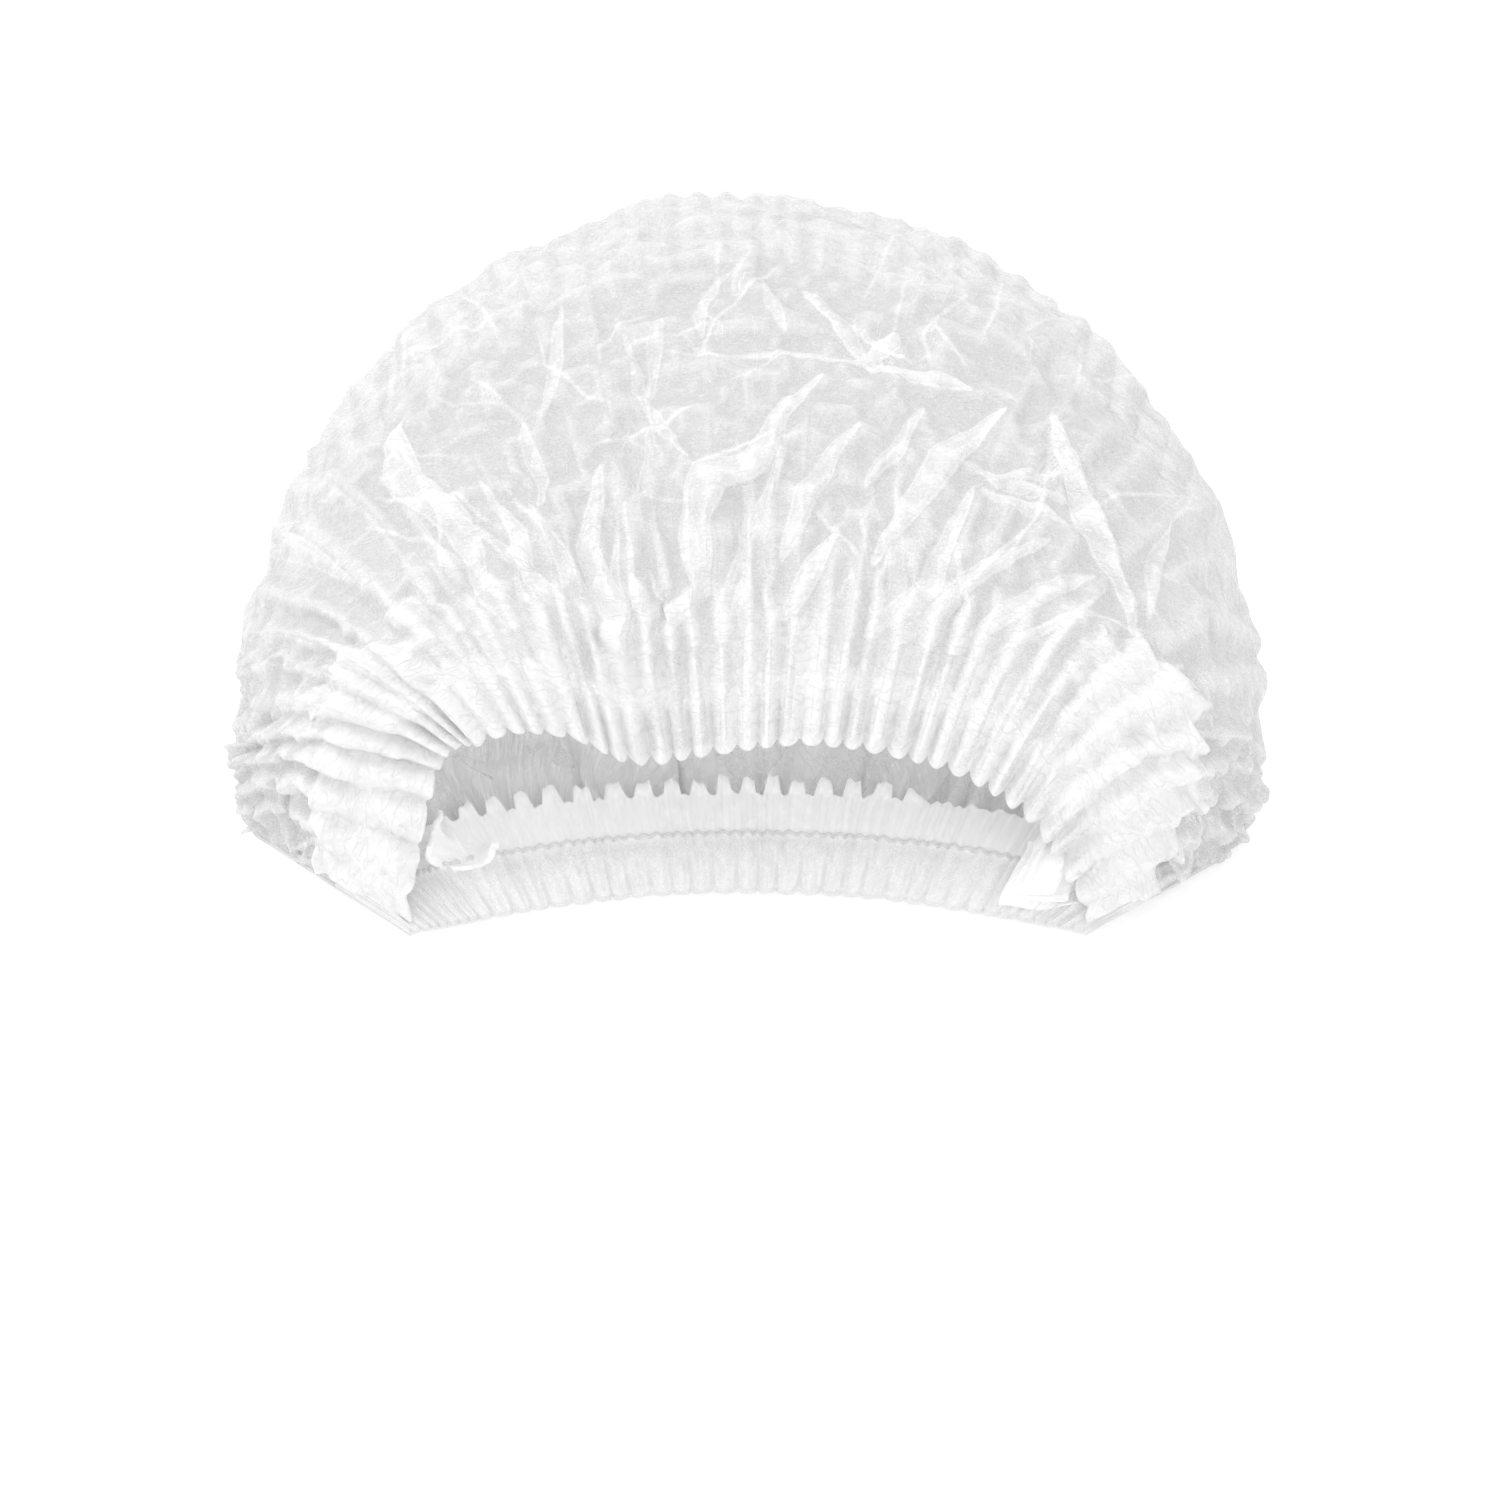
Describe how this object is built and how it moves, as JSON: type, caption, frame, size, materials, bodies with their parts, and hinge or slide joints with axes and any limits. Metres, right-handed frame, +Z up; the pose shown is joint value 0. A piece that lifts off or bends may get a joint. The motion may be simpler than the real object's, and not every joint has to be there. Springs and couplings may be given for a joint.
{
  "type": "disposable clip cap",
  "caption": "Puffed non-woven head cap lying on its back panel, its mouth gathered on elastic between pleated hems.",
  "frame": {"origin": "on the surface the cap lies on, under the middle of the cap's box", "axes": "+Z up; -Y towards the mouth, +Y towards the back fold of the crown; +X to the right seen from the mouth"},
  "size_m": [0.2766, 0.2272, 0.0801],
  "materials": {
    "sheet": "thin white non-woven sheet that lets light through, matt",
    "hem": "doubled and pleated white non-woven, matt",
    "elastic": "white elastic tape, dull",
    "sealed_end": "many layers of white non-woven sealed together, matt"
  },
  "bodies": {
    "root": {"crown": "sheet", "upper_hem": "hem", "lower_hem": "hem", "upper_elastic": "elastic", "lower_elastic": "elastic", "left_end": "sealed_end", "right_end": "sealed_end"}
  },
  "joints": []
}
